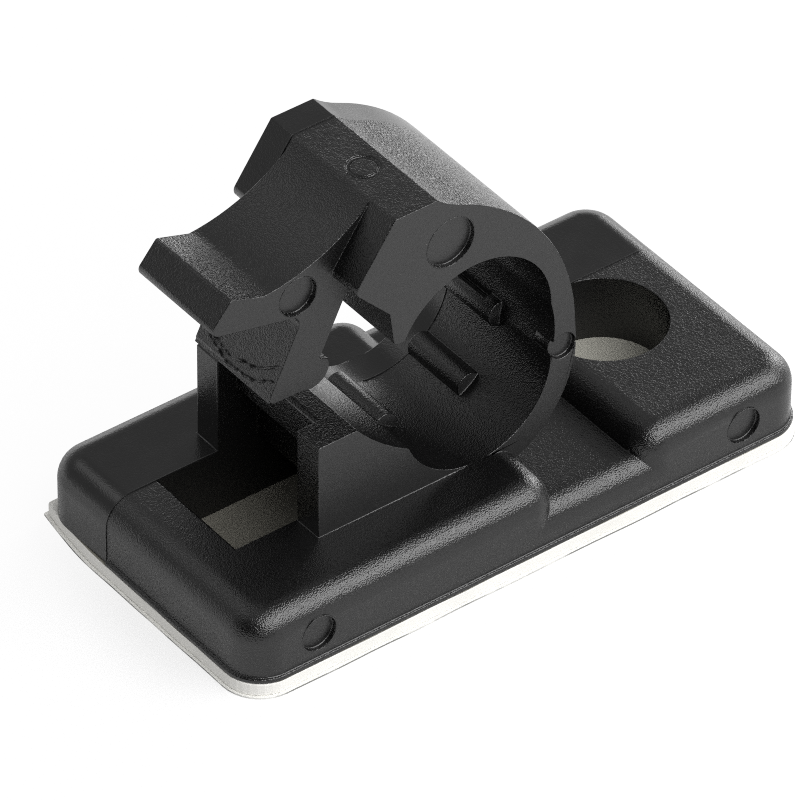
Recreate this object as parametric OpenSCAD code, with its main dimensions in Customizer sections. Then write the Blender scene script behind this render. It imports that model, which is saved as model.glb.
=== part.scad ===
// Latching cable clip on a self-adhesive base, shown open as it leaves the mould.
// X runs from the latch end to the screw end, Y across the base, Z up from the mounting surface.
// All sizes are in millimetres and angles in degrees.

/* [Base] */
// Length of the base
base_l = 38; // [34:0.5:48]
// Width of the base
base_w = 19.2; // [16:0.1:28]
// Height of the front and rear blocks
block_h = 4.25; // [3.6:0.05:6]
// Height of the low strip that leaves room for the ring to flex
strip_h = 2.6; // [2:0.05:3.4]
// Length of the front block
front_l = 20.9; // [19:0.1:23]
// Length of the rear block
rear_l = 11.5; // [10:0.1:13]
// Plan radius of the four outer corners
corner_r = 2.2; // [1.8:0.05:4]
// Plan radius of the block corners beside the low strip
step_r = 1.8; // [1.75:0.05:3]
// Radius along the top edges of the base
edge_r = 1.7; // [0.6:0.05:1.7]
// Height of the rim at the foot of the base
foot_h = 0.3; // [0.2:0.05:0.5]
// Reach of that rim beyond the base
foot_over = 0.15; // [0.05:0.05:0.3]

/* [Screw hole] */
// Diameter of the screw hole
hole_d = 7.2; // [4:0.1:8]
// Distance of the screw hole from the rear end
hole_from_end = 6.7; // [5.5:0.1:7.2]

/* [Ring] */
// Width of the ring, the jaw and the catch
loop_w = 11; // [9:0.1:14]
// Diameter of the cable bore
bore_d = 9.9; // [9:0.1:11]
// Distance of the bore from the latch end of the base
bore_from_end = 18.2; // [17.6:0.1:19]
// Thickness of the ring
ring_wall = 1.65; // [1.3:0.05:2]
// Rise of the jaw's bore above the cable bore, along the flexible hinge
hinge_h = 3.6; // [2.8:0.1:4.6]
// Height of the straight part of the hinge's back
hinge_flat = 1.35; // [0.8:0.05:2]
// Depth of the hollow in the hinge's inner face
hinge_hollow = 0.25; // [0.1:0.05:0.4]

/* [Jaw] */
// Diameter of the bore in the jaw
jaw_bore_d = 10.4; // [9.8:0.1:10.8]
// Shift of the jaw's bore towards the latch
jaw_shift = 0.3; // [0:0.05:0.5]
// Radius of the jaw's back
back_r = 13.1; // [12:0.1:15]
// Distance of the top face's rear edge from the bore's centre, towards the latch
crown_x = 2.6; // [2.2:0.05:3]
// Lift of that edge above the curve of the jaw's back
crown_lift = 0.44; // [0.2:0.02:0.8]
// Radius of the hollow behind the top face
crown_hollow_r = 6.5; // [4:0.5:10]
// Length of the top face
crown_l = 2.8; // [2.4:0.1:3.2]
// Reach of the nose in front of the top face
nose_l = 2.65; // [2.3:0.05:3]
// Drop of the nose below the top face
nose_drop = 3.8; // [3.4:0.1:4.2]
// Radius of the nose
nose_r = 0.5; // [0.2:0.05:0.7]
// Distance of the claw's root from the bore's centre
claw_reach = 5.7; // [5.5:0.05:6]
// Height of the claw's root above the bore's centre
claw_root_h = 4.55; // [4.2:0.05:4.9]
// Setback of the claw's tip from its root
claw_lean = 0.3; // [0:0.05:0.4]
// Height of the claw's tip above the bore's centre
claw_tip_h = 2.25; // [2:0.05:2.6]
// Radius of the claw's tip
claw_r = 0.35; // [0.15:0.05:0.45]

/* [Latch] */
// Gap between the latch and each catch wall
latch_clear = 0.2; // [0.1:0.05:0.5]
// Reach of the thumb tongue in front of the jaw's top face
tongue_l = 10.7; // [10:0.1:11.4]
// Drop of the tongue's lower lip below the jaw's top face
tongue_drop = 4.3; // [4:0.1:4.7]
// Length of the tongue's end face
tip_h = 2.4; // [2:0.1:2.8]
// Slope of the end face from upright
tip_slope = 40; // [30:1:46]
// Length of the flat behind the end face
flat_l = 2.15; // [1.6:0.05:2.6]
// Fall of that flat towards the thumb hollow
flat_drop = 0.7; // [0.4:0.05:0.9]
// Radius of the thumb hollow
thumb_r = 11; // [9:0.5:16]
// Slope of the tongue's underside
under_slope = 13; // [9:1:16]
// Radius of the tongue's lower lip
lip_r = 0.45; // [0.2:0.05:0.7]
// Radius of the tongue's upper lip
brow_r = 0.2; // [0.1:0.05:0.4]
// Distance of the stem behind the tongue's lower lip
stem_back = 6.45; // [6:0.05:6.9]
// Lean of the stem from upright
stem_lean = 25.5; // [22:0.5:29]
// Thickness of the stem
stem_t = 2.45; // [2:0.05:2.8]
// Length of the stem below the tongue
stem_l = 5.6; // [5.2:0.1:6]
// Radius in the corner between tongue and stem
stem_root_r = 0.6; // [0.3:0.1:1]
// Radius at the toe of the stem
toe_r = 0.35; // [0.15:0.05:0.6]
// Radius of the barb
barb_r = 1.2; // [1:0.05:1.3]
// Distance of the barb's centre below the tongue
barb_down = 3.4; // [3.2:0.05:3.6]
// Reach of the barb beyond the stem
barb_reach = 0.95; // [0.7:0.05:1.1]
// Height of the barb's ledge above the barb's centre
ledge_up = 0.8; // [0.5:0.05:0.9]

/* [Catch] */
// Distance of the catch walls from the latch end of the base
catch_from_end = 7.5; // [7:0.1:8]
// Height of the catch's shelf above the blocks
catch_h = 6.2; // [5.7:0.1:6.8]
// Gap between the catch walls
gate_w = 7.1; // [6:0.1:8]
// Reach of the slot in the base in front of the catch walls
slot_front = 3.95; // [3:0.05:4.6]
// Reach of the slot under the catch, behind the lip's edge
slot_rear = 4.05; // [3:0.05:4.4]
// Chamfer along the front edge of the slot
slot_lead = 0.2; // [0.1:0.05:0.4]
// Setback of the lip behind the front of the catch walls
lip_back = 1.25; // [1:0.05:1.6]
// Thickness of the lip that holds the barb
lip_t = 2.4; // [2:0.1:2.6]
// Lead-in chamfer on the lip
lip_lead = 0.22; // [0.1:0.02:0.5]
// Depth of the room for the barb behind the lip's edge
barb_room = 1.35; // [1:0.05:1.5]
// Length of the shelf
shelf_l = 2.6; // [2.4:0.05:2.9]
// Radius of the claw's seat behind the shelf
seat_r = 12.4; // [11:0.2:15]
// Distance of the seat's centre behind the shelf
seat_x = 9.7; // [9.3:0.05:10.1]

/* [Grip ribs] */
// Diameter of the ribs in the bore
rib_d = 1.6; // [1:0.1:1.8]
// Length of the ribs
rib_l = 4.55; // [3:0.05:6]
// Directions of the ribs around the bore, the last of them on the hinge
rib_angles = [235, 306, 0];
// Diameter of the groove along the top of the rib on the hinge
groove_d = 0.7; // [0.6:0.05:0.9]
// Length of that groove
groove_l = 3.65; // [2.4:0.05:4]

/* [Mould marks] */
// Distance of the parting plane from the middle of the clip
parting_y = 3.55; // [3:0.05:4]
// Depth of the ejector marks
mark_depth = 0.3; // [0.1:0.05:0.5]
// Diameter of the ejector marks on the base
base_mark_d = 2.2; // [1.5:0.1:2.6]
// Distance of those marks from the ends of the base
base_mark_from_end = 4.5; // [4:0.1:6]
// Height of those marks
base_mark_z = 1.9; // [1.4:0.05:2]
// Diameter of the ejector mark on the jaw
jaw_mark_d = 3.1; // [2:0.1:3.3]
// Height of that mark above the centre of the jaw's bore
jaw_mark_h = 7.55; // [7.2:0.05:7.9]
// Distance of that mark from the centre of the jaw's bore, towards the latch
jaw_mark_x = 1.7; // [1.2:0.1:2.2]
// Diameter of the ejector mark on the tongue
tongue_mark_d = 2.4; // [1.5:0.1:2.5]
// Height of that mark above the corner of tongue and stem
tongue_mark_h = 1.5; // [1.3:0.05:1.7]
// Distance of that mark from the same corner, towards the tip
tongue_mark_x = 0.35; // [0:0.05:0.8]
// Diameter of the ejector pad on the hinge
hinge_mark_d = 1.65; // [1.4:0.05:1.8]
// Height of that pad above the bore's centre
hinge_mark_h = 0.3; // [0:0.05:1]
// Length of that pad
hinge_mark_l = 1.2; // [0.8:0.1:2]
// Diameter of the plain ring pressed into the jaw's top face
crown_ring_d = 2; // [1.6:0.1:2.2]
// Width of that ring
crown_ring_t = 0.25; // [0.15:0.05:0.4]
// Depth of that ring
crown_ring_depth = 0.12; // [0.05:0.01:0.2]
// Distance of that ring from the middle of the clip
crown_ring_y = 0.85; // [0:0.05:2]

/* [Adhesive] */
// Thickness of the foam pad
pad_t = 0.8; // [0.5:0.05:1.6]
// Overhang of the foam pad around the base
pad_over = 0.15; // [0:0.05:0.5]
// Thickness of the release liner
liner_t = 0.12; // [0.08:0.02:0.3]
// Overhang of the release liner around the foam pad
liner_over = 0.15; // [0:0.05:0.5]
// Radius of the corners that the pad and the liner have on the far side
cut_r = 0.4; // [0.1:0.05:2]

/* [Hidden] */
$fn = 96;

// How far a cut runs past the face that it opens
past = 0.5;
// Larger than the clip, for half planes
far = 2 * base_l;
// Flat that the rounded edge leaves at least
edge_land = 0.05;

// Base, with heights measured from the underside of the moulding
front_x = -base_l / 2;
rear_x = base_l / 2;
body_z = liner_t + pad_t;

// Ring: the cable bore touches the top of the front block
bore_r = bore_d / 2;
ring_r = bore_r + ring_wall;
bore_c = [front_x + bore_from_end, block_h + bore_r];

// Jaw: its back carries on from the back of the hinge
jaw_bore_r = jaw_bore_d / 2;
jaw_c = bore_c + [-jaw_shift, hinge_h];
back_c = bore_c + [ring_r - back_r, hinge_flat];
crown_r = back_r + crown_lift;
crown_rear_x = jaw_c.x - crown_x;
crown_rear = [crown_rear_x, back_c.y + sqrt(pow(crown_r, 2) - pow(crown_rear_x - back_c.x, 2))];
crown_front = crown_rear - [crown_l, 0];
crown_hollow_c = right_meet(back_c, back_r + crown_hollow_r, crown_rear, crown_hollow_r);
crown_hollow_end = back_c + toward(back_c, crown_hollow_c) * back_r;
nose = crown_front - [nose_l, nose_drop];
claw_root = jaw_c + [-claw_reach, claw_root_h];
claw_tip = jaw_c + [claw_lean - claw_reach, claw_tip_h];

// Hinge: its hollow inner face runs from one bore to the other
hinge_low = bore_c + [bore_r, 0];
hinge_high = jaw_c + [jaw_bore_r, 0];
hinge_r = (pow(norm(hinge_high - hinge_low) / 2, 2) + pow(hinge_hollow, 2)) / (2 * hinge_hollow);

// Tongue: a flat lip, then a thumb hollow up to the front of the jaw's top face
latch_w = gate_w - 2 * latch_clear;
lip = crown_front - [tongue_l, tongue_drop];
brow = lip + tip_h * [sin(tip_slope), cos(tip_slope)];
hollow_start = brow + [flat_l, -flat_drop];
thumb_c = left_centre(hollow_start, crown_front, thumb_r);

// Stem: hangs from the tongue's underside and reaches up into the jaw
stem_top = lip + stem_back * [cos(under_slope), -sin(under_slope)];
stem_root_l = (nose.y - stem_top.y) / cos(stem_lean);
stem_root = stem_top + stem_point(-stem_root_l, stem_t);

// Catch: walls, shelf and the seat that takes the claw
catch_x = front_x + catch_from_end;
catch_z = block_h + catch_h;
shelf_end = [catch_x + shelf_l, catch_z];
seat_c = shelf_end + [seat_x, sqrt(pow(seat_r, 2) - pow(seat_x, 2))];
lip_x = catch_x + lip_back;

// Ejector marks
jaw_mark = jaw_c + [-jaw_mark_x, jaw_mark_h];
tongue_mark = stem_top + [-tongue_mark_x, tongue_mark_h];
hinge_mark = bore_c + [bore_r + ring_wall / 2, hinge_mark_h];

// Unit vector from one point to another
function toward(a, b) = (b - a) / norm(b - a);

// Point at distances ra and rb from a and b, to the right of the way from a to b
function right_meet(a, ra, b, rb) =
    let (
        span = norm(b - a),
        along = (pow(ra, 2) - pow(rb, 2) + pow(span, 2)) / (2 * span),
        aside = sqrt(pow(ra, 2) - pow(along, 2)),
        u = toward(a, b)
    )
    a + along * u + aside * [u.y, -u.x];

// Centre of an arc of radius r from a to b, to the left of the way
function left_centre(a, b, r) = right_meet(b, r, a, r);

// Offset from the top of the stem's front face: down along the stem, then across it
function stem_point(down, across) =
    down * [-sin(stem_lean), -cos(stem_lean)] + across * [cos(stem_lean), -sin(stem_lean)];

// Half the angle at b between the sides to a and c
function half_angle(a, b, c) = acos(toward(b, a) * toward(b, c)) / 2;

// Where a circle of radius r touches the two sides that meet at corner k, or the corner itself
function corner_cut(points, k, r) =
    let (
        a = points[(k + len(points) - 1) % len(points)],
        b = points[k],
        c = points[(k + 1) % len(points)],
        reach = r / tan(half_angle(a, b, c))
    )
    r > 0 ? [b + toward(b, a) * reach, b + toward(b, c) * reach] : [b];

// Centre of that circle
function corner_centre(points, k, r) =
    let (
        a = points[(k + len(points) - 1) % len(points)],
        b = points[k],
        c = points[(k + 1) % len(points)]
    )
    b + toward([0, 0], toward(b, a) + toward(b, c)) * r / sin(half_angle(a, b, c));

// Polygon with its outer corners rounded to the radii given, where 0 leaves a corner sharp
module soft_polygon(points, radii) {
    last = len(points) - 1;
    polygon([for (k = [0:last]) each corner_cut(points, k, radii[k])]);
    for (k = [0:last])
        if (radii[k] > 0)
            translate(corner_centre(points, k, radii[k])) circle(radii[k]);
}

// Fills the inner corner b up to a circle that touches both of its sides
module gusset(a, b, c, r) {
    corner = [a, b, c];
    touch = corner_cut(corner, 1, r);
    centre = corner_centre(corner, 1, r);
    difference() {
        polygon([b - toward(b, centre) * past, touch[0], centre, touch[1]]);
        translate(centre) circle(r);
    }
}

// Carries a profile drawn in X and Z across the width of the clip
module across(w) {
    rotate([90, 0, 0]) linear_extrude(w, center = true) children();
}

// Cylinder across the width, from y at one end to y at the other
module across_rod(at, d, from, to) {
    translate([at.x, to, at.y]) rotate([90, 0, 0]) cylinder(h = to - from, d = d);
}

// Half section of a base block of half width w and height h, with its rounded top edge
module edge_section(w, h) {
    r = min(edge_r, w - edge_land, h - edge_land);
    square([w, h - r]);
    square([w - r, h]);
    translate([w - r, h - r]) intersection() {
        circle(r);
        square(r);
    }
}

// Straight stretch of a base block of width w and height h
module edge_beam(l, w, h) {
    linear_extrude(l) {
        edge_section(w / 2, h);
        mirror([1, 0]) edge_section(w / 2, h);
    }
}

// Base block from x0 to x1, with plan radius r0 at one end and r1 at the other
module base_block(x0, x1, r0, r1) {
    for (side = [-1, 1]) {
        translate([x0 + r0, side * (base_w / 2 - r0), 0]) rotate_extrude() edge_section(r0, block_h);
        translate([x1 - r1, side * (base_w / 2 - r1), 0]) rotate_extrude() edge_section(r1, block_h);
    }
    translate([x0 + r0, 0, 0]) rotate([90, 0, 90]) edge_beam(x1 - x0 - r0 - r1, base_w, block_h);
    end_wall(x0 + r0, r0);
    end_wall(x1 - r1, r1);
}

// Rounded end of a block, between its two corners
module end_wall(x, r) {
    w = base_w - 2 * r;
    translate([x, w / 2, 0]) rotate([90, 0, 0]) edge_beam(w, 2 * r, block_h);
}

module base() {
    base_block(front_x, front_x + front_l, corner_r, step_r);
    base_block(rear_x - rear_l, rear_x, step_r, corner_r);
    strip_x = front_x + front_l / 2;
    translate([strip_x, 0, 0]) rotate([90, 0, 90])
        edge_beam(rear_x - rear_l / 2 - strip_x, base_w, strip_h);
}

// Room for the cable: both bores and the hollow of the hinge between them
module bore_profile() {
    translate(bore_c) circle(bore_r);
    translate(jaw_c) circle(jaw_bore_r);
    intersection() {
        translate(left_centre(hinge_low, hinge_high, hinge_r)) circle(hinge_r);
        translate([jaw_c.x, bore_c.y]) square([far, hinge_h]);
    }
}

// Lower ring and the straight back of the hinge
module ring_profile() {
    intersection() {
        translate(bore_c) circle(ring_r);
        translate([bore_c.x, bore_c.y - far]) square(far);
    }
    translate(bore_c) square([ring_r, hinge_flat]);
}

// Jaw with its round back, top face, nose and claw
module jaw_profile() {
    seam_x = crown_rear.x - past;
    claw_foot = [crown_rear.x, claw_tip.y];
    intersection() {
        translate(back_c) circle(back_r);
        translate([seam_x, back_c.y]) square(far);
    }
    difference() {
        polygon([crown_rear, [seam_x, crown_rear.y], [seam_x, crown_hollow_end.y - past], crown_hollow_end]);
        translate(crown_hollow_c) circle(crown_hollow_r);
    }
    soft_polygon(
        [crown_rear, crown_front, nose, claw_root, claw_tip, claw_foot],
        [0, 0, nose_r, 0, claw_r, 0]
    );
}

// Catch block under the shelf, hollowed by the claw's seat
module catch_profile() {
    difference() {
        translate([catch_x, strip_h]) square([bore_c.x + past - catch_x, catch_z - strip_h]);
        intersection() {
            translate(seat_c) circle(seat_r);
            translate([shelf_end.x, 0]) square(far);
        }
    }
}

// Catch, ring and jaw, all as wide as the ring
module loop() {
    across(loop_w) difference() {
        union() {
            catch_profile();
            ring_profile();
            jaw_profile();
        }
        bore_profile();
    }
}

// Thumb tongue with its flat lip and thumb hollow
module tongue_profile() {
    difference() {
        soft_polygon(
            [lip, stem_top, stem_root, [claw_root.x, nose.y], crown_front, hollow_start, brow],
            [lip_r, 0, 0, 0, 0, 0, brow_r]
        );
        intersection() {
            translate(thumb_c) circle(thumb_r);
            translate(hollow_start - [0, far / 2]) square(far);
        }
    }
    gusset(lip, stem_top, stem_top + stem_point(stem_l, 0), stem_root_r);
}

// Stem with the barb that snaps under the lip, drawn down and across the stem and then leaned
module stem_profile() {
    barb_c = [barb_down, stem_t + barb_reach - barb_r];
    ledge = [barb_down - ledge_up, stem_t];
    toe = [stem_l, 0];
    heel = barb_c + [barb_r, 0];
    translate(stem_top) rotate(-90 - stem_lean) {
        soft_polygon(
            [[-stem_root_l, 0], toe, heel, barb_c, ledge, [-stem_root_l, stem_t]],
            [0, toe_r, 0, 0, 0, 0]
        );
        difference() {
            translate(barb_c) circle(barb_r);
            translate(ledge - [far, 0]) square(far);
        }
    }
}

// Tongue, stem and barb, narrow enough to pass between the catch walls
module latch() {
    across(latch_w) {
        tongue_profile();
        stem_profile();
    }
}

// Opening for the latch: the slot through the base, the gate between the walls
// and the room for the barb behind the lip
module gate() {
    slot_x = catch_x - slot_front;
    slot_end = lip_x + slot_rear;
    room_end = lip_x + barb_room;
    across(gate_w) polygon([
        [slot_x, -past],
        [slot_end, -past],
        [slot_end, block_h],
        [room_end, block_h],
        [room_end, catch_z - lip_t],
        [lip_x, catch_z - lip_t],
        [lip_x, catch_z - lip_lead],
        [lip_x + lip_lead + past, catch_z + past],
        [slot_x - slot_lead - past, catch_z + past],
        [slot_x - slot_lead - past, block_h + past],
        [slot_x, block_h - slot_lead]
    ]);
}

module screw_hole() {
    translate([rear_x - hole_from_end, 0, -past]) cylinder(h = block_h + 2 * past, d = hole_d);
}

// Shallow round mark sunk into the side that faces -Y, half of the width w away
module ejector_mark(at, d, w) {
    across_rod(at, d, -w / 2 - past, -w / 2 + mark_depth);
}

module ejector_marks() {
    for (side = [-1, 1])
        ejector_mark([side * (base_l / 2 - base_mark_from_end), base_mark_z], base_mark_d, base_w);
    ejector_mark(jaw_mark, jaw_mark_d, loop_w);
    ejector_mark(tongue_mark, tongue_mark_d, latch_w);
    ejector_mark(hinge_mark, hinge_mark_d, loop_w);
}

// Thickening under the ejector mark of the thin hinge
module hinge_pad() {
    start = -loop_w / 2 + mark_depth;
    across_rod(hinge_mark, hinge_mark_d, start, start + hinge_mark_l);
}

// Ribs that hold the cable, as far as the parting plane, the last of them with its groove
module grip_ribs() {
    rib_c = [for (angle = rib_angles) bore_c + bore_r * [cos(angle), sin(angle)]];
    groove = rib_c[len(rib_c) - 1] + [0, rib_d / 2];
    difference() {
        for (c = rib_c)
            across_rod(c, rib_d, parting_y - rib_l, parting_y);
        across_rod(groove, groove_d, parting_y - groove_l, parting_y + past);
    }
}

// Plain ring pressed into the jaw's top face
module crown_ring() {
    translate([crown_rear.x - crown_l / 2, -crown_ring_y, crown_rear.y - crown_ring_depth]) difference() {
        cylinder(h = crown_ring_depth + past, d = crown_ring_d);
        translate([0, 0, -past]) cylinder(h = crown_ring_depth + 3 * past, d = crown_ring_d - 2 * crown_ring_t);
    }
}

// Outline of the base with an overhang all round, its far corners with a radius of their own
module outline(over, far_r) {
    x = base_l / 2 + over;
    y = base_w / 2 + over;
    near_r = corner_r + over;
    soft_polygon([[-x, -y], [x, -y], [x, y], [-x, y]], [near_r, near_r, far_r, far_r]);
}

// Thin rim around the foot of the base, as far as the parting plane
module foot_rim() {
    linear_extrude(foot_h) intersection() {
        outline(foot_over, corner_r);
        translate([-far / 2, parting_y - far]) square(far);
    }
}

// Plate cut from strip, square at the far corners
module sheet(over, t) {
    linear_extrude(t) outline(over, cut_r);
}

// Single black moulding: base, catch, ring, jaw and latch
module clip_body() {
    color("#1d1d1f") translate([0, 0, body_z]) {
        difference() {
            union() {
                base();
                foot_rim();
                loop();
                latch();
            }
            gate();
            screw_hole();
            ejector_marks();
            crown_ring();
        }
        hinge_pad();
        grip_ribs();
    }
}

// Double-sided adhesive foam
module foam_pad() {
    color("#efeee8") translate([0, 0, liner_t]) sheet(pad_over, pad_t);
}

// Coated paper that covers the adhesive until the clip is fixed
module release_liner() {
    color("#e4e2da") sheet(pad_over + liner_over, liner_t);
}

clip_body();
foam_pad();
release_liner();
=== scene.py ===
import math

import bmesh
import bpy
from mathutils import Matrix, Vector, noise


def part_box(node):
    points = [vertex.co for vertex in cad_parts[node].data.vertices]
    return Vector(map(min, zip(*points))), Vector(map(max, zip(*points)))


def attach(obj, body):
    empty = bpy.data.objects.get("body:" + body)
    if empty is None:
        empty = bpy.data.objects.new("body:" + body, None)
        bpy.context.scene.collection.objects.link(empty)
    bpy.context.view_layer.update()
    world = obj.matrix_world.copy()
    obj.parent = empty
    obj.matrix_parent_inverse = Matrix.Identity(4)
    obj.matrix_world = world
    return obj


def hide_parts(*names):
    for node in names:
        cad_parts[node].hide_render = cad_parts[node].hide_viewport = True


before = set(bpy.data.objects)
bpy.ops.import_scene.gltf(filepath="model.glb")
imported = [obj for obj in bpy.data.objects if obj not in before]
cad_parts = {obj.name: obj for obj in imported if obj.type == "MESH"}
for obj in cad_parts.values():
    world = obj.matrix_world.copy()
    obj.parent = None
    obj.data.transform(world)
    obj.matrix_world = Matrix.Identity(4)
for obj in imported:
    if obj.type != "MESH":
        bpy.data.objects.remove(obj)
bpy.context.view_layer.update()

mm = 0.001
scene = bpy.context.scene
scene.view_settings.view_transform = "Standard"
scene.cycles.use_denoising = False  # the denoiser smears the fine grain
scene.cycles.filter_width = 1.0  # pixels, narrow for a crisp grain
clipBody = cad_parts["clip_body"]
bodyLow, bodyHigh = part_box("clip_body")
padLow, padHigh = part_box("foam_pad")
linerLow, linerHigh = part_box("release_liner")
print("frame loaded, body from", bodyLow, "to", bodyHigh)


# shader helpers: a socket takes a link, or a plain value
def feed(tree, socket, source):
    if isinstance(source, bpy.types.NodeSocket):
        tree.links.new(source, socket)
    else:
        socket.default_value = source


def maths(tree, operation, a, b=0.0):
    node = tree.nodes.new("ShaderNodeMath")
    node.operation = operation
    feed(tree, node.inputs[0], a)
    feed(tree, node.inputs[1], b)
    return node.outputs[0]


def fade(tree, value, low, high, toLow=0.0, toHigh=1.0):
    node = tree.nodes.new("ShaderNodeMapRange")
    node.interpolation_type = "SMOOTHSTEP"
    for name, number in (("From Min", low), ("From Max", high), ("To Min", toLow), ("To Max", toHigh)):
        feed(tree, node.inputs[name], number)
    feed(tree, node.inputs["Value"], value)
    return node.outputs["Result"]


# from a to b as the mask goes from 0 to 1
def between(tree, mask, a, b):
    return fade(tree, mask, 0.0, 1.0, a, b)


def dotWith(tree, vector, direction):
    node = tree.nodes.new("ShaderNodeVectorMath")
    node.operation = "DOT_PRODUCT"
    feed(tree, node.inputs[0], vector)
    feed(tree, node.inputs[1], direction)
    return node.outputs["Value"]


def split(tree, vector):
    node = tree.nodes.new("ShaderNodeSeparateXYZ")
    feed(tree, node.inputs[0], vector)
    return node.outputs


def blendColour(tree, factor, a, b):
    node = tree.nodes.new("ShaderNodeMix")
    node.data_type = "RGBA"
    feed(tree, node.inputs[0], factor)
    feed(tree, node.inputs[6], a)  # 6, 7 and output 2 are the colour sockets
    feed(tree, node.inputs[7], b)
    return node.outputs[2]


def noiseValue(tree, vector, scale, detail, roughness):
    node = tree.nodes.new("ShaderNodeTexNoise")
    for name, value in (("Vector", vector), ("Scale", scale), ("Detail", detail), ("Roughness", roughness)):
        feed(tree, node.inputs[name], value)
    return node.outputs["Fac"]


def cells(tree, vector, scale):
    node = tree.nodes.new("ShaderNodeTexVoronoi")
    feed(tree, node.inputs["Vector"], vector)
    feed(tree, node.inputs["Scale"], scale)
    return node.outputs["Distance"]


def newGroup(name, inputs, outputs):
    group = bpy.data.node_groups.new(name, "ShaderNodeTree")
    sockets = group.interface
    for socketName, start in inputs:
        socket = sockets.new_socket(socketName, in_out="INPUT", socket_type="NodeSocketFloat")
        socket.default_value = start
    for socketName in outputs:
        sockets.new_socket(socketName, in_out="OUTPUT", socket_type="NodeSocketFloat")
    return group, group.nodes.new("NodeGroupInput").outputs, group.nodes.new("NodeGroupOutput").inputs


def useGroup(tree, group, **values):
    node = tree.nodes.new("ShaderNodeGroup")
    node.node_tree = group
    for name, value in values.items():
        node.inputs[name].default_value = value
    return node.outputs


def newMaterial(name, colour, roughness, ior=1.5):
    material = bpy.data.materials.new(name)
    material.use_nodes = True
    material.diffuse_color = colour
    shader = material.node_tree.nodes["Principled BSDF"]
    shader.inputs["Base Color"].default_value = colour
    shader.inputs["Roughness"].default_value = roughness
    shader.inputs["IOR"].default_value = ior
    return material, material.node_tree, shader


def bumpInto(tree, shader, height, depth):
    bump = tree.nodes.new("ShaderNodeBump")
    bump.inputs["Distance"].default_value = depth
    bump.inputs["Strength"].default_value = 1.0
    feed(tree, bump.inputs["Height"], height)
    feed(tree, shader.inputs["Normal"], bump.outputs["Normal"])


# spark-eroded grain of the mould: strong on its near half, deepest on the back of the ring,
# weak on the far half and on the flat sides
mould = {
    "backFacing": (0.05, 0.4), "backHeight": (12 * mm, 14 * mm),  # where the back of the ring fades in
    "craters": 0.6, "pits": 0.45, "pitDepth": 0.7,  # coarser marks, as shares of the grain
    "partingBlend": 0.02 * mm, "sideFacing": (0.8, 0.97), "patches": 420,
}


def makeMouldGrain():
    tree, given, out = newGroup(
        "mouldGrain",
        [("Grain", 12000), ("Parting", 0.0), ("Side Grain", 0.1), ("Far Grain", 0.33), ("Back Grain", 3.8)],
        ["Height", "Sides", "Patches"],
    )
    surface = tree.nodes.new("ShaderNodeTexCoord").outputs
    place = surface["Object"]
    axes = split(tree, place)
    facing = split(tree, surface["Normal"])
    ringBack = maths(tree, "MULTIPLY", fade(tree, facing["X"], *mould["backFacing"]),
                     fade(tree, axes["Z"], *mould["backHeight"]))
    pebbles = cells(tree, place, given["Grain"])
    craters = cells(tree, place, maths(tree, "MULTIPLY", given["Grain"], mould["craters"]))
    pits = noiseValue(tree, place, maths(tree, "MULTIPLY", given["Grain"], mould["pits"]), 0.0, 0.5)
    pits = maths(tree, "MULTIPLY", maths(tree, "SUBTRACT", pits, 0.5), mould["pitDepth"])
    grain = maths(tree, "ADD", between(tree, ringBack, pebbles, craters), pits)
    pastParting = maths(tree, "SUBTRACT", axes["Y"], given["Parting"])
    nearHalf = fade(tree, pastParting, -mould["partingBlend"], mould["partingBlend"], 1.0, 0.0)
    nearGrain = between(tree, ringBack, 1.0, given["Back Grain"])
    extraGrain = maths(tree, "SUBTRACT", nearGrain, given["Far Grain"])
    halfGrain = maths(tree, "ADD", given["Far Grain"], maths(tree, "MULTIPLY", nearHalf, extraGrain))
    sideways = fade(tree, maths(tree, "ABSOLUTE", facing["Y"]), *mould["sideFacing"])
    sideCut = maths(tree, "MULTIPLY", sideways, maths(tree, "SUBTRACT", 1.0, given["Side Grain"]))
    amount = maths(tree, "MULTIPLY", halfGrain, maths(tree, "SUBTRACT", 1.0, sideCut))
    feed(tree, out["Height"], maths(tree, "MULTIPLY", grain, amount))
    feed(tree, out["Sides"], sideways)
    feed(tree, out["Patches"], noiseValue(tree, place, mould["patches"], 3.0, 0.55))
    return tree


# faint fibres and grey smudges on the pale pad and paper
smudgeScale = 260


def makePaleFibres():
    tree, given, out = newGroup("paleFibres", [("Fibre", 5000), ("Stretch", 0.15)], ["Fibres", "Smudges"])
    place = tree.nodes.new("ShaderNodeTexCoord").outputs["Object"]
    axes = split(tree, place)
    along = tree.nodes.new("ShaderNodeCombineXYZ")
    feed(tree, along.inputs["X"], maths(tree, "MULTIPLY", axes["X"], given["Stretch"]))
    feed(tree, along.inputs["Y"], axes["Y"])
    feed(tree, along.inputs["Z"], axes["Z"])
    feed(tree, out["Fibres"], noiseValue(tree, along.outputs[0], given["Fibre"], 3.0, 0.6))
    feed(tree, out["Smudges"], noiseValue(tree, place, smudgeScale, 4.0, 0.6))
    return tree


mouldGrain = makeMouldGrain()
paleFibres = makePaleFibres()

nylon = {
    "dark": (0.0022, 0.0022, 0.0023, 1), "light": (0.0045, 0.0044, 0.0045, 1), "ior": 1.6,
    "parting": 3.55 * mm, "grain": 13000, "depth": 0.0175 * mm,
    "patches": (0.3, 0.7), "roughLow": 0.18, "roughHigh": 0.24, "roughSide": 0.38,
}


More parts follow.
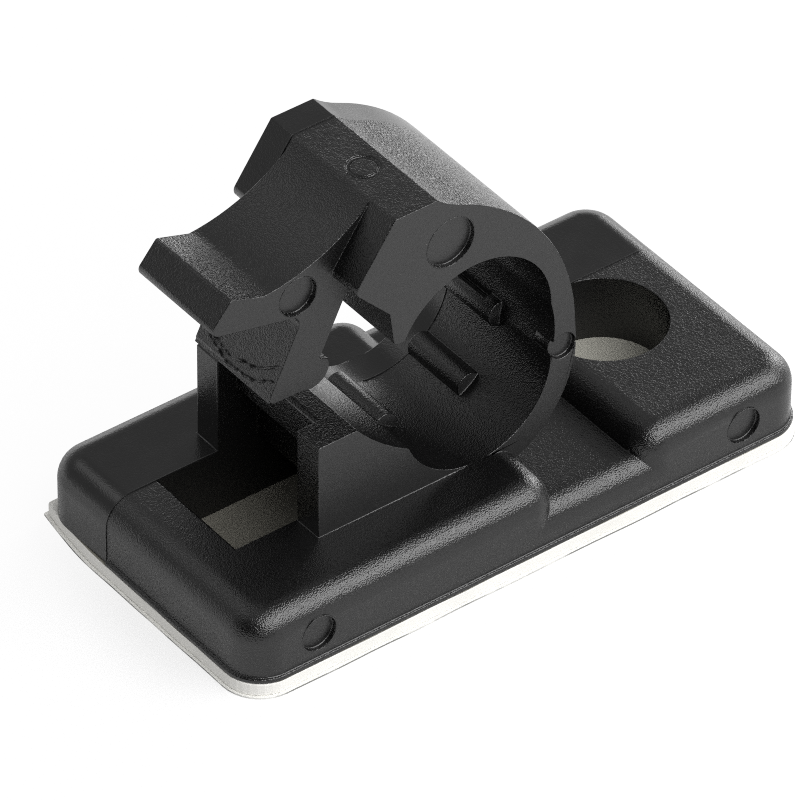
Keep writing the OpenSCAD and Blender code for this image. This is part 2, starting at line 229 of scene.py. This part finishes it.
def makeNylon():
    material, tree, shader = newMaterial("blackNylon", nylon["light"], nylon["roughLow"], nylon["ior"])
    grain = useGroup(tree, mouldGrain, Grain=nylon["grain"], Parting=nylon["parting"])
    feed(tree, shader.inputs["Base Color"], blendColour(tree, grain["Patches"], nylon["dark"], nylon["light"]))
    rough = fade(tree, grain["Patches"], *nylon["patches"], nylon["roughLow"], nylon["roughHigh"])
    feed(tree, shader.inputs["Roughness"], between(tree, grain["Sides"], rough, nylon["roughSide"]))
    bumpInto(tree, shader, grain["Height"], nylon["depth"])
    return material


foam = {
    "pale": (0.86, 0.85, 0.82, 1), "grey": (0.74, 0.73, 0.69, 1),
    # the two darker top colours are painted shade for the top face seen down the slot and the screw hole,
    # darkest under the latch
    "topShade": (0.46, 0.45, 0.395, 1), "latchShade": (0.24, 0.23, 0.195, 1),
    "topShadeTurn": (0.8, 0.95), "topShadeBlend": 6 * mm, "unshadedCorner": (26.9 * mm, 27.2 * mm),  # x + y of the corners
    "cells": 3500, "stretch": 0.5, "depth": 0.006 * mm,
    "plainRough": 0.85, "fibres": (0.2, 0.8), "rough": (0.75, 0.95),
}


def makeFoam():
    material, tree, shader = newMaterial("whiteFoam", foam["pale"], foam["plainRough"])
    fibres = useGroup(tree, paleFibres, Fibre=foam["cells"], Stretch=foam["stretch"])
    cut = blendColour(tree, fibres["Smudges"], foam["pale"], foam["grey"])
    surface = tree.nodes.new("ShaderNodeTexCoord").outputs
    facing = split(tree, surface["Normal"])
    axes = split(tree, surface["Object"])
    # painted shade on the top face, which shows only down the slot and the screw hole: darker towards the
    # latch, none at the corners that stand out from the clip
    corner = maths(tree, "ADD", maths(tree, "ABSOLUTE", axes["X"]), maths(tree, "ABSOLUTE", axes["Y"]))
    shadedTop = maths(tree, "MULTIPLY", fade(tree, facing["Z"], *foam["topShadeTurn"]),
                  fade(tree, corner, *foam["unshadedCorner"], 1.0, 0.0))
    rearward = fade(tree, axes["X"], -foam["topShadeBlend"], foam["topShadeBlend"])
    topShadeColour = blendColour(tree, rearward, foam["latchShade"], foam["topShade"])
    feed(tree, shader.inputs["Base Color"], blendColour(tree, shadedTop, cut, topShadeColour))
    feed(tree, shader.inputs["Roughness"], fade(tree, fibres["Fibres"], *foam["fibres"], *foam["rough"]))
    bumpInto(tree, shader, fibres["Fibres"], foam["depth"])
    return material


liner = {
    # cut is painted shade on the cut edge, standing in for the thin shadow line under the pad's edge
    "pale": (0.84, 0.83, 0.80, 1), "grey": (0.76, 0.76, 0.73, 1), "cut": (0.22, 0.22, 0.21, 1),
    "edgeTurn": (0.3, 0.7), "edgeShadePatches": (0.35, 0.6), "fibre": 6000, "stretch": 0.15, "depth": 0.004 * mm,
    "plainRough": 0.5, "fibres": (0.2, 0.8), "rough": (0.4, 0.6),
}


def makeLinerPaper():
    material, tree, shader = newMaterial("linerPaper", liner["pale"], liner["plainRough"])
    fibres = useGroup(tree, paleFibres, Fibre=liner["fibre"], Stretch=liner["stretch"])
    faces = blendColour(tree, fibres["Smudges"], liner["pale"], liner["grey"])
    facing = split(tree, tree.nodes.new("ShaderNodeTexCoord").outputs["Normal"])
    upright = fade(tree, maths(tree, "ABSOLUTE", facing["Z"]), *liner["edgeTurn"], 1.0, 0.0)
    patches = fade(tree, fibres["Smudges"], *liner["edgeShadePatches"])
    cut = maths(tree, "MULTIPLY", upright, patches)  # painted shade: the cut edge is dark here and there, a broken thin shadow line under the pad's edge
    feed(tree, shader.inputs["Base Color"], blendColour(tree, cut, faces, liner["cut"]))
    feed(tree, shader.inputs["Roughness"], fade(tree, fibres["Fibres"], *liner["fibres"], *liner["rough"]))
    bumpInto(tree, shader, fibres["Fibres"], liner["depth"])
    return material


def newPiece(name, bm):
    mesh = bpy.data.meshes.new(name)
    bm.to_mesh(mesh)
    bm.free()
    piece = bpy.data.objects.new(name, mesh)
    scene.collection.objects.link(piece)
    return piece


def putOn(piece, material):
    piece.data.materials.clear()
    piece.data.materials.append(material)


def smoothFaces(bm):
    for face in bm.faces:
        face.smooth = True


# trim that was moulded with the clip
def makeNylonTrim(piece):
    putOn(piece, blackNylon)
    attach(piece, "root")


blackNylon = makeNylon()
whiteFoam = makeFoam()
linerPaper = makeLinerPaper()
print("materials made")

# small moulded radius on every sharp edge of the clip
edges = {"weld": 0.002 * mm, "flatAngle": 0.4, "radius": 0.07 * mm, "steps": 2, "sharpFrom": 28}


def softenEdges(piece):
    weld = piece.modifiers.new("weld", "WELD")
    weld.merge_threshold = edges["weld"]
    flats = piece.modifiers.new("flats", "DECIMATE")
    flats.decimate_type = "DISSOLVE"
    flats.angle_limit = math.radians(edges["flatAngle"])
    soften = piece.modifiers.new("edges", "BEVEL")
    soften.width = edges["radius"]
    soften.segments = edges["steps"]
    soften.profile = 0.5
    soften.limit_method = "ANGLE"
    soften.angle_limit = math.radians(edges["sharpFrom"])
    soften.use_clamp_overlap = False
    soften.loop_slide = False  # even widths where long faces meet the ejector marks
    piece.modifiers.new("shading", "WEIGHTED_NORMAL").keep_sharp = False


putOn(clipBody, blackNylon)
softenEdges(clipBody)
print("clip dressed")

# pad and liner cut from strip: wavy edges, round near corners, square far corners, one end cut askew
sheets = {
    "foamPad": {"near": 2.35 * mm, "far": 0.2 * mm, "wave": 0.05 * mm, "ripple": 400, "edge": 0.07 * mm},
    "releaseLiner": {"near": 2.5 * mm, "far": 0.1 * mm, "wave": 0.07 * mm, "ripple": 260, "edge": 0.015 * mm},
    "cornerSteps": 9, "edgeSteps": 2, "cuts": 110, "cutFrom": 3 * mm,  # only edges longer than this are cut up
    "waveRim": 9,  # a high power keeps the waves at the rim
    "askewFrom": 3.5 * mm, "askew": 0.6 * mm, "rimAngle": 1.0, "rimLevel": 0.01 * mm,
}


def isRim(edge):
    start, end = (v.co.z for v in edge.verts)
    return abs(edge.calc_face_angle(0)) > sheets["rimAngle"] and abs(start - end) < sheets["rimLevel"]


def makeSheet(name, low, high, material, node):
    look = sheets[name]
    middle = (low + high) / 2
    half = (high - low) / 2
    bm = bmesh.new()
    bmesh.ops.create_grid(bm, x_segments=1, y_segments=1, size=1)
    bmesh.ops.scale(bm, verts=bm.verts, vec=(half.x, half.y, 1))
    for side, radius in ((-1, look["near"]), (1, look["far"])):
        corners = [v for v in bm.verts if v.co.y * side > half.y * 0.99]
        bmesh.ops.bevel(bm, geom=corners, affect="VERTICES", offset=radius, offset_type="OFFSET",
                        segments=sheets["cornerSteps"], profile=0.5, material=-1)
    longEdges = [e for e in bm.edges if e.calc_length() > sheets["cutFrom"]]
    bmesh.ops.subdivide_edges(bm, edges=longEdges, cuts=sheets["cuts"])
    bmesh.ops.translate(bm, verts=bm.verts, vec=(middle.x, middle.y, low.z))
    top = bmesh.ops.extrude_face_region(bm, geom=bm.faces[:])["geom"]
    topVerts = [v for v in top if isinstance(v, bmesh.types.BMVert)]
    bmesh.ops.translate(bm, verts=topVerts, vec=(0, 0, high.z - low.z))
    for v in bm.verts:
        reach = Vector(((v.co.x - middle.x) / half.x, (v.co.y - middle.y) / half.y, 0))
        outward = Vector((reach.x ** sheets["waveRim"], reach.y ** sheets["waveRim"], 0)).normalized()
        v.co += outward * look["wave"] * noise.noise(v.co * look["ripple"])
        if reach.x < 0 and v.co.y > sheets["askewFrom"]:
            share = (v.co.y - sheets["askewFrom"]) / (high.y - sheets["askewFrom"])
            v.co.x += sheets["askew"] * share * share * -reach.x
    bmesh.ops.recalc_face_normals(bm, faces=bm.faces)
    rims = [e for e in bm.edges if isRim(e)]
    bmesh.ops.bevel(bm, geom=rims, affect="EDGES", offset=look["edge"], offset_type="OFFSET",
                    segments=sheets["edgeSteps"], profile=0.5, material=-1)
    bmesh.ops.recalc_face_normals(bm, faces=bm.faces)
    piece = newPiece(name, bm)
    putOn(piece, material)
    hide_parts(node)
    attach(piece, "root")


makeSheet("foamPad", padLow, padHigh, whiteFoam, "foam_pad")
makeSheet("releaseLiner", linerLow, linerHigh, linerPaper, "release_liner")
print("pad and liner cut")

# fine bead that the mould leaves along its parting plane, half sunk into the clip
bead = {
    "past": 0.004 * mm, "wide": 0.08 * mm, "high": 0.08 * mm, "round": 0.03 * mm, "steps": 2, "roundFrom": 60,
    "rearTurn": 0.2, "underTurn": -0.9, "underHigh": 0.05 * mm,
    "holeX": 12.3 * mm, "holeWide": 0.8 * mm, "holeTurn": 0.5,
}


# the bead doesn't show underneath, on what looks to the rear, or in the screw hole
def isBare(face):
    middle = face.calc_center_median()
    under = face.normal.z < bead["underTurn"] and middle.z < bodyLow.z + bead["underHigh"]
    rearward = face.normal.x > bead["rearTurn"]
    inHole = abs(middle.x - bead["holeX"]) < bead["holeWide"] and abs(face.normal.z) < bead["holeTurn"]
    return under or rearward or inHole


def makeBead():
    bm = bmesh.new()
    bm.from_mesh(clipBody.data)
    bm.transform(clipBody.matrix_world)
    bmesh.ops.remove_doubles(bm, verts=bm.verts, dist=edges["weld"])
    start = nylon["parting"] + bead["past"]
    bmesh.ops.bisect_plane(bm, geom=bm.verts[:] + bm.edges[:] + bm.faces[:], plane_co=(0, start, 0),
                           plane_no=(0, 1, 0), clear_inner=True)
    bmesh.ops.bisect_plane(bm, geom=bm.verts[:] + bm.edges[:] + bm.faces[:],
                           plane_co=(0, start + bead["wide"], 0), plane_no=(0, 1, 0), clear_outer=True)
    bmesh.ops.delete(bm, geom=[f for f in bm.faces if isBare(f)], context="FACES")
    bmesh.ops.remove_doubles(bm, verts=bm.verts, dist=edges["weld"])
    smoothFaces(bm)
    piece = newPiece("partingBead", bm)
    shell = piece.modifiers.new("shell", "SOLIDIFY")
    shell.thickness = bead["high"]
    shell.offset = 0
    back = piece.modifiers.new("back", "BEVEL")
    back.width = bead["round"]
    back.segments = bead["steps"]
    back.limit_method = "ANGLE"
    back.angle_limit = math.radians(bead["roundFrom"])
    makeNylonTrim(piece)


makeBead()
print("parting bead laid")

# fine burr that an ejector pin leaves around its mark; face is the y of the side that it marks
burrs = {
    "baseFront": {"x": -14.5 * mm, "z": 2.82 * mm, "face": -9.6 * mm, "mark": 2.2 * mm},
    "baseRear": {"x": 14.5 * mm, "z": 2.82 * mm, "face": -9.6 * mm, "mark": 2.2 * mm},
    "jaw": {"x": -2.8 * mm, "z": 21.27 * mm, "face": -5.5 * mm, "mark": 3.1 * mm},
    "tongue": {"x": -11.265 * mm, "z": 20.27 * mm, "face": -3.35 * mm, "mark": 2.4 * mm},
}
burr = {"radius": 0.035 * mm, "sides": 10, "steps": 72, "outside": 0.03 * mm, "sunk": 0.01 * mm}


def makeBurr(name, look):
    bm = bmesh.new()
    ring = bmesh.ops.create_circle(bm, segments=burr["sides"], radius=burr["radius"])["verts"]
    bmesh.ops.translate(bm, verts=ring, vec=(look["mark"] / 2 + burr["outside"], 0, 0))
    bmesh.ops.spin(bm, geom=bm.verts[:] + bm.edges[:], cent=(0, 0, 0), axis=(0, 1, 0), angle=math.tau,
                   steps=burr["steps"], use_merge=True)
    bmesh.ops.remove_doubles(bm, verts=bm.verts, dist=edges["weld"])
    bmesh.ops.recalc_face_normals(bm, faces=bm.faces)
    smoothFaces(bm)
    bmesh.ops.translate(bm, verts=bm.verts, vec=(look["x"], look["face"] + burr["sunk"], look["z"]))
    makeNylonTrim(newPiece(name + "Burr", bm))


for markName, markLook in burrs.items():
    makeBurr(markName, markLook)
print("ejector burrs added")

# torn flash across the front of the stem: two rough ridges, their skirt sunk into the stem
flash = {
    "top": (-10.915 * mm, 0, 18.77 * mm), "lean": 25.5, "from": 2.9 * mm, "to": 5.4 * mm, "half": 3.3 * mm,
    "ridges": ((4.6 * mm, 0.6 * mm), (5.08 * mm, -0.1 * mm)), "bow": 97,  # lowest point of each, and its y
    "wander": 0.12 * mm, "swing": 900, "shake": 2600, "shakeShare": 0.6,
    "wide": 0.1 * mm, "high": 0.22 * mm, "lump": 0.7, "lumpAcross": 2800, "lumpDown": 1400,
    "sunk": 0.05 * mm, "thick": 0.1 * mm, "endSlope": 12, "acrossCuts": 160, "downCuts": 60,
}


# height of the torn edge at a place across the stem and down it; the steps of k give each ridge its own noise
def flashRise(y, fall):
    rise = 0
    for k, (lowest, at) in enumerate(flash["ridges"]):
        middle = lowest - flash["bow"] * (y - at) ** 2
        swing = noise.noise((y * flash["swing"], 5 * k, 0))
        shake = noise.noise((y * flash["shake"], 9 * k, 3))
        middle += flash["wander"] * (swing + flash["shakeShare"] * shake)
        rough = noise.noise((y * flash["lumpAcross"], fall * flash["lumpDown"], 7 * k))
        lump = flash["lump"] + flash["lump"] * rough
        rise = max(rise, flash["high"] * lump * math.exp(-((fall - middle) / flash["wide"]) ** 2))
    return rise


def makeFlash():
    lean = math.radians(flash["lean"])
    down = Vector((-math.sin(lean), 0, -math.cos(lean)))
    outward = Vector((-math.cos(lean), 0, math.sin(lean)))
    bm = bmesh.new()
    bmesh.ops.create_grid(bm, x_segments=flash["acrossCuts"], y_segments=flash["downCuts"], size=1)
    for v in bm.verts:
        y = v.co.x * flash["half"]
        fall = flash["from"] + (flash["to"] - flash["from"]) * (v.co.y + 1) / 2
        inside = min(1, (1 - abs(v.co.x)) * flash["endSlope"])
        proud = flashRise(y, fall) * inside - flash["sunk"]
        v.co = Vector(flash["top"]) + down * fall + Vector((0, y, 0)) + outward * proud
    bmesh.ops.recalc_face_normals(bm, faces=bm.faces)
    if sum((f.normal.dot(outward) for f in bm.faces)) < 0:
        bmesh.ops.reverse_faces(bm, faces=bm.faces)
    smoothFaces(bm)
    piece = newPiece("stemFlash", bm)
    shell = piece.modifiers.new("shell", "SOLIDIFY")
    shell.thickness = flash["thick"]
    makeNylonTrim(piece)


makeFlash()
print("stem flash added")

# studio: a white floor, a wide soft box in front, a small one behind at the right, a dim ceiling panel
rearSide = (0.77, 0.63, 0)  # away from the camera
cameraSide = (-0.77, -0.63, 0)
floor = {
    "size": 1.2, "drop": 0.01 * mm, "shift": 0.2,
    # painted light: the floor is paler behind the clip, for the back of the ring to reflect
    "colour": (0.74, 0.74, 0.74, 1), "paintedLightBehind": (0.9, 0.9, 0.9, 1), "rearBlend": (8 * mm, 40 * mm),
    "shownColour": (1, 1, 1, 1), "glow": (0.62, 0.96), "glowBlend": (-2 * mm, 14 * mm),  # as the camera sees it, glowing more towards the rear: painted light that hides the clip's shadow there
    "evenLevel": 0.66,  # to diffuse rays: painted bounce light, an even glow in place of the lit floor
    "glossLevel": 1.0, "gloss": (0.0, 0.8), "glossBlend": (10 * mm, 45 * mm),  # to reflections: painted light, the floor glows towards the rear in what the clip reflects
}


def makeFloor():
    bm = bmesh.new()
    bmesh.ops.create_grid(bm, x_segments=1, y_segments=1, size=floor["size"])
    bmesh.ops.translate(bm, verts=bm.verts, vec=(floor["shift"], 0, -floor["drop"]))
    piece = newPiece("floor", bm)
    material = bpy.data.materials.new("floorPaint")
    material.use_nodes = True
    tree = material.node_tree
    tree.nodes.remove(tree.nodes["Principled BSDF"])
    paint = tree.nodes.new("ShaderNodeBsdfDiffuse")
    glow = tree.nodes.new("ShaderNodeEmission")
    rays = tree.nodes.new("ShaderNodeLightPath").outputs
    place = tree.nodes.new("ShaderNodeTexCoord").outputs["Object"]
    axes = split(tree, place)
    # painted light: the paint is paler behind the clip
    behind = fade(tree, axes["Y"], *floor["rearBlend"])
    shade = blendColour(tree, behind, floor["colour"], floor["paintedLightBehind"])
    shade = blendColour(tree, rays["Is Camera Ray"], shade, floor["shownColour"])
    feed(tree, paint.inputs["Color"], shade)
    amount = fade(tree, axes["Y"], *floor["glowBlend"], *floor["glow"])
    shown = maths(tree, "MULTIPLY", rays["Is Camera Ray"], amount)
    seen = maths(tree, "MAXIMUM", shown, rays["Is Diffuse Ray"])
    # painted light: glossy rays see the floor glow towards the rear
    rearward = dotWith(tree, place, rearSide)
    glossed = fade(tree, rearward, *floor["glossBlend"], *floor["gloss"])
    seen = maths(tree, "MAXIMUM", seen, maths(tree, "MULTIPLY", rays["Is Glossy Ray"], glossed))
    strength = between(tree, rays["Is Diffuse Ray"], 1.0, floor["evenLevel"])
    strength = between(tree, rays["Is Glossy Ray"], strength, floor["glossLevel"])
    feed(tree, glow.inputs["Strength"], strength)
    lit = tree.nodes.new("ShaderNodeMixShader")
    feed(tree, lit.inputs[0], seen)
    feed(tree, lit.inputs[1], paint.outputs[0])
    feed(tree, lit.inputs[2], glow.outputs[0])
    oneWay = tree.nodes.new("ShaderNodeMixShader")  # clear from below
    feed(tree, oneWay.inputs[0], tree.nodes.new("ShaderNodeNewGeometry").outputs["Backfacing"])
    feed(tree, oneWay.inputs[1], lit.outputs[0])
    feed(tree, oneWay.inputs[2], tree.nodes.new("ShaderNodeBsdfTransparent").outputs[0])
    feed(tree, tree.nodes["Material Output"].inputs["Surface"], oneWay.outputs[0])
    putOn(piece, material)


lamps = {
    "frontBox": {"at": (0.243, -0.687, 0.68), "far": 0.45, "wide": 0.78, "tall": 0.28, "level": 5.0},
    "rearBox": {"at": (0.91, 0.33, 0.27), "far": 0.5, "wide": 0.25, "tall": 0.26, "level": 5.0},
    "ceilingPanel": {"at": (-0.32, 0.47, 0.82), "far": 0.5, "wide": 0.26, "tall": 0.26, "level": 0.75},
}
aim = Vector((0, 0, 8 * mm))


def addLamp(name, look):
    lamp = bpy.data.lights.new(name, "AREA")
    lamp.shape = "RECTANGLE"
    lamp.size = look["wide"]
    lamp.size_y = look["tall"]
    lamp.energy = look["level"] * math.pi * look["wide"] * look["tall"]
    holder = bpy.data.objects.new(name, lamp)
    holder.location = aim + Vector(look["at"]).normalized() * look["far"]
    holder.rotation_euler = (holder.location - aim).to_track_quat("Z", "Y").to_euler()
    scene.collection.objects.link(holder)


# pale horizon, a little higher at the right and brightest at the rear, under a dark ceiling;
# the room behind the camera is dark, and where the camera looks it is white
surround = {
    "horizon": 0.75, "rearHorizon": 1.9, "rearBlend": (0.5, 0.95),
    "zenith": 0.34, "zenithFrom": 0.3, "lean": 0.1,
    "darkLevel": 0.03, "darkBlend": (0.35, 0.8), "evenLevel": 0.3,  # even to diffuse rays
}


def makeSurround():
    world = bpy.data.worlds.new("surround")
    world.use_nodes = True
    tree = world.node_tree
    sky = tree.nodes["Background"].inputs
    place = tree.nodes.new("ShaderNodeTexCoord").outputs["Generated"]
    rays = tree.nodes.new("ShaderNodeLightPath").outputs
    axes = split(tree, place)
    height = maths(tree, "SUBTRACT", axes["Z"], maths(tree, "MULTIPLY", axes["X"], surround["lean"]))
    horizon = fade(tree, dotWith(tree, place, rearSide), *surround["rearBlend"],
                   surround["horizon"], surround["rearHorizon"])
    level = fade(tree, height, 0.0, surround["zenithFrom"], horizon, surround["zenith"])
    dark = fade(tree, dotWith(tree, place, cameraSide), *surround["darkBlend"], 1.0, surround["darkLevel"])
    level = maths(tree, "MULTIPLY", level, dark)
    level = between(tree, rays["Is Diffuse Ray"], level, surround["evenLevel"])
    feed(tree, sky["Strength"], maths(tree, "MAXIMUM", level, rays["Is Camera Ray"]))
    feed(tree, sky["Color"], (1, 1, 1, 1))
    scene.world = world


makeFloor()
for lampName, lampLook in lamps.items():
    addLamp(lampName, lampLook)
makeSurround()
print("studio set")

# camera of the photo, measured from the moulding's underside
view = {
    "azimuth": -37.525, "elevation": 39.559, "roll": 0.546, "lens": 426.87, "sensor": 36, "nearest": 0.01,
    "far": 519.3 * mm, "right": -1.451 * mm, "up": 3.492 * mm,
}


def makeCamera():
    turn, rise, tilt = (math.radians(view[name]) for name in ("azimuth", "elevation", "roll"))
    back = Vector((math.sin(turn) * math.cos(rise), -math.cos(turn) * math.cos(rise), math.sin(rise)))
    level = Vector((0, 0, 1)).cross(back).normalized()
    upright = back.cross(level)
    right = level * math.cos(tilt) + upright * math.sin(tilt)
    up = upright * math.cos(tilt) - level * math.sin(tilt)
    place = Vector((0, 0, bodyLow.z)) + back * view["far"] + right * view["right"] + up * view["up"]
    lens = bpy.data.cameras.new("camera")
    lens.sensor_fit = "HORIZONTAL"
    lens.sensor_width = view["sensor"]
    lens.lens = view["lens"]
    lens.clip_start = view["nearest"]
    camera = bpy.data.objects.new("camera", lens)
    camera.matrix_world = Matrix.Translation(place) @ Matrix((right, up, back)).transposed().to_4x4()
    scene.collection.objects.link(camera)
    scene.camera = camera


makeCamera()
print("camera set")
